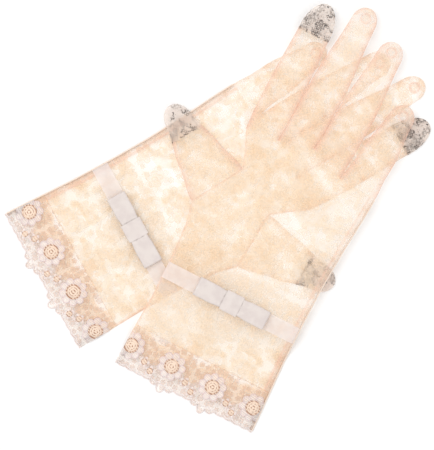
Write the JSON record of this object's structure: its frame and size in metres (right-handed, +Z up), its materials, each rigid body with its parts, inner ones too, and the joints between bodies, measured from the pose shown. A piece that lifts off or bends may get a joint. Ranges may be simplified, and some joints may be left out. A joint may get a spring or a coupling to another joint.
{
  "type": "lace gloves",
  "caption": "Pair of short lace gloves lying flat and crossed, with a scalloped flowered cuff edging, a ribbon with a flat bow, and touch-screen tips on the thumbs and index fingers.",
  "frame": {"origin": "middle of the pair's footprint, on the surface the gloves lie on", "axes": "+Z up from that surface, with the backs of the hands upward; +Y towards the fingertips of the right glove and +X towards the fingertips of both, about 27 degrees off +Y for the right glove and 61 degrees for the left"},
  "size_m": [0.2392, 0.2404, 0.0121],
  "materials": {
    "lace": "soft openwork lace",
    "edging": "dense embroidered lace",
    "flower": "raised embroidered thread",
    "touch_tip": "fine conductive mesh",
    "seam": "narrow overlocked seam",
    "ribbon": "smooth satin ribbon"
  },
  "bodies": {
    "left_glove": {"left_palm_panel": "lace", "left_back_panel": "lace", "left_side_seam": "seam", "left_thumb": "lace", "left_thumb_touch_tip": "touch_tip", "left_index": "lace", "left_index_touch_tip": "touch_tip", "left_middle": "lace", "left_ring": "lace", "left_little": "lace", "left_edging_palm": "edging", "left_edging_back": "edging", "left_ribbon": "ribbon", "left_bow_knot": "ribbon", "left_flower_1": "flower", "left_flower_2": "flower", "left_flower_3": "flower", "left_flower_4": "flower"},
    "right_glove": {"right_palm_panel": "lace", "right_back_panel": "lace", "right_side_seam": "seam", "right_edging_palm": "edging", "right_edging_back": "edging", "right_ribbon": "ribbon", "right_bow_knot": "ribbon", "right_flower_1": "flower", "right_flower_2": "flower", "right_flower_3": "flower", "right_flower_4": "flower"},
    "right_thumb_finger": {"right_thumb": "lace", "right_thumb_touch_tip": "touch_tip"},
    "right_index_finger": {"right_index": "lace", "right_index_touch_tip": "touch_tip"},
    "right_middle_finger": {"right_middle": "lace"},
    "right_ring_finger": {"right_ring": "lace"},
    "right_little_finger": {"right_little": "lace"},
    "left_bow_inner_loop": {"left_bow_inner": "ribbon"},
    "left_bow_outer_loop": {"left_bow_outer": "ribbon"},
    "right_bow_inner_loop": {"right_bow_inner": "ribbon"},
    "right_bow_outer_loop": {"right_bow_outer": "ribbon"}
  },
  "joints": [
    {"name": "right_glove_lift", "type": "slide", "parent": "left_glove", "child": "right_glove", "axis": [0, 0, 1], "range_m": [0, 0.08]},
    {"name": "right_thumb_fold", "type": "hinge", "parent": "right_glove", "child": "right_thumb_finger", "pos_m": [-0.00102, 0.0181, 0.0074], "axis": [0.859, 0.512, 0], "range_deg": [0, 90]},
    {"name": "right_index_fold", "type": "hinge", "parent": "right_glove", "child": "right_index_finger", "pos_m": [0.02411, 0.04622, 0.0074], "axis": [0.8894, -0.4571, 0], "range_deg": [0, 90]},
    {"name": "right_middle_fold", "type": "hinge", "parent": "right_glove", "child": "right_middle_finger", "pos_m": [0.04468, 0.04127, 0.0074], "axis": [0.8796, -0.4756, 0], "range_deg": [0, 90]},
    {"name": "right_ring_fold", "type": "hinge", "parent": "right_glove", "child": "right_ring_finger", "pos_m": [0.06186, 0.02964, 0.0074], "axis": [0.8695, -0.4939, 0], "range_deg": [0, 90]},
    {"name": "right_little_fold", "type": "hinge", "parent": "right_glove", "child": "right_little_finger", "pos_m": [0.07869, 0.01536, 0.0074], "axis": [0.8499, -0.527, 0], "range_deg": [0, 90]},
    {"name": "left_bow_inner_lift", "type": "hinge", "parent": "left_glove", "child": "left_bow_inner_loop", "pos_m": [-0.04541, -0.01219, 0.0067], "axis": [-0.875, -0.484, 0], "range_deg": [0, 60]},
    {"name": "left_bow_outer_lift", "type": "hinge", "parent": "left_glove", "child": "left_bow_outer_loop", "pos_m": [-0.05078, -0.00248, 0.0067], "axis": [0.875, 0.484, 0], "range_deg": [0, 60]},
    {"name": "right_bow_inner_lift", "type": "hinge", "parent": "right_glove", "child": "right_bow_inner_loop", "pos_m": [0.00224, -0.04654, 0.0111], "axis": [0.4571, 0.8894, 0], "range_deg": [0, 60]},
    {"name": "right_bow_outer_lift", "type": "hinge", "parent": "right_glove", "child": "right_bow_outer_loop", "pos_m": [0.01212, -0.05161, 0.0111], "axis": [-0.4571, -0.8894, 0], "range_deg": [0, 60]}
  ]
}
